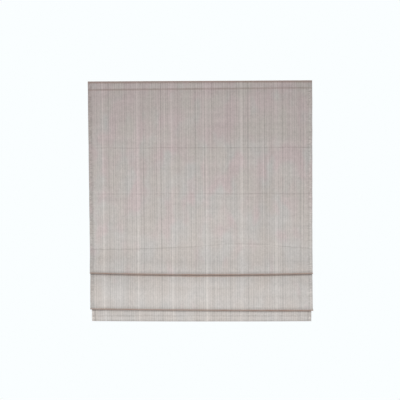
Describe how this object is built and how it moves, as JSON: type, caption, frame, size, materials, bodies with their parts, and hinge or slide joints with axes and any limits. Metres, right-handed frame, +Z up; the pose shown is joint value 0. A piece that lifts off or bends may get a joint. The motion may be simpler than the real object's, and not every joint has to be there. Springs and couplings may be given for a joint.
{
  "type": "roman blind",
  "caption": "Flat roman blind of striped woven cloth with rod pockets, part drawn up into hanging folds, on a headrail with a sprung cord lift and wall brackets.",
  "frame": {"origin": "centre of the four wall screws, on the wall's face", "axes": "+Z up, +X to the right as seen from the room, -Y out of the wall towards the room"},
  "size_m": [1.2, 0.0506, 1.285],
  "materials": {
    "cloth": "woven, with fine upright slub stripes",
    "tape": "matt woven tape",
    "rail_paint": "satin white powder coat",
    "bracket_paint": "satin pale grey powder coat",
    "white_plastic": "moulded",
    "shaft_steel": "drawn",
    "spring_steel": "rolled band",
    "cord": "braided",
    "rod_glass_fibre": "drawn glass fibre",
    "ring_plastic": "moulded",
    "bar_aluminium": "mill finish"
  },
  "bodies": {
    "headrail": {"blind_fabric": "cloth", "loop_tape": "tape", "hook_tape": "tape", "headrail": "rail_paint", "end_cap_left": "white_plastic", "end_cap_right": "white_plastic", "bracket_left": "bracket_paint", "bracket_right": "bracket_paint", "cradle_left": "white_plastic", "cradle_centre": "white_plastic", "cradle_right": "white_plastic", "cord_grommets": "white_plastic", "motor_housing": "white_plastic", "motor_cover": "white_plastic", "clock_spring": "spring_steel", "motor_screws": "shaft_steel", "lift_cord_left": "cord", "lift_cord_centre": "cord", "lift_cord_right": "cord"},
    "rod_1": {"rod_1": "rod_glass_fibre", "rings_1": "ring_plastic"},
    "rod_2": {"rod_2": "rod_glass_fibre", "rings_2": "ring_plastic"},
    "rod_3": {"rod_3": "rod_glass_fibre", "rings_3": "ring_plastic"},
    "rod_4": {"rod_4": "rod_glass_fibre", "rings_4": "ring_plastic"},
    "bottom_bar": {"rod_5": "rod_glass_fibre", "rings_5": "ring_plastic", "cord_anchors": "white_plastic", "bottom_bar": "bar_aluminium", "bar_cap_left": "white_plastic", "bar_cap_right": "white_plastic"},
    "lift_shaft": {"lift_shaft": "shaft_steel", "spool_left": "white_plastic", "spool_centre": "white_plastic", "spool_right": "white_plastic", "cord_windings": "cord", "motor_arbor": "white_plastic"}
  },
  "joints": [
    {"name": "lift", "type": "slide", "parent": "headrail", "child": "rod_3", "axis": [0, 0, 1], "range_m": [0, 0.78], "deforming": ["blind_fabric", "lift_cord_left", "lift_cord_centre", "lift_cord_right"]},
    {"name": "rod_1_slide", "type": "slide", "parent": "headrail", "child": "rod_1", "axis": [0, 0, 1], "range_m": [0, 0.2935]},
    {"name": "rod_2_slide", "type": "slide", "parent": "headrail", "child": "rod_2", "axis": [0, 0, 1], "range_m": [0, 0.5207]},
    {"name": "shaft_turn", "type": "hinge", "parent": "headrail", "child": "lift_shaft", "pos_m": [0, -0.01435, 0.038], "axis": [1, 0, 0], "range_deg": [-6630, 0]},
    {"name": "rod_4_slide", "type": "slide", "parent": "rod_3", "child": "rod_4", "axis": [0, 0, 1], "range_m": [-0.156, 0.045], "deforming": ["blind_fabric", "lift_cord_left", "lift_cord_centre", "lift_cord_right"]},
    {"name": "bottom_bar_slide", "type": "slide", "parent": "rod_4", "child": "bottom_bar", "axis": [0, 0, 1], "range_m": [-0.119, 0.18], "deforming": ["blind_fabric", "lift_cord_left", "lift_cord_centre", "lift_cord_right"]}
  ],
  "couplings": [
    {"joint": "rod_1_slide", "follows": "lift", "ratio": 0.375},
    {"joint": "rod_2_slide", "follows": "lift", "ratio": 0.66627},
    {"joint": "shaft_turn", "follows": "lift", "rad_per_m": -148.15}
  ]
}
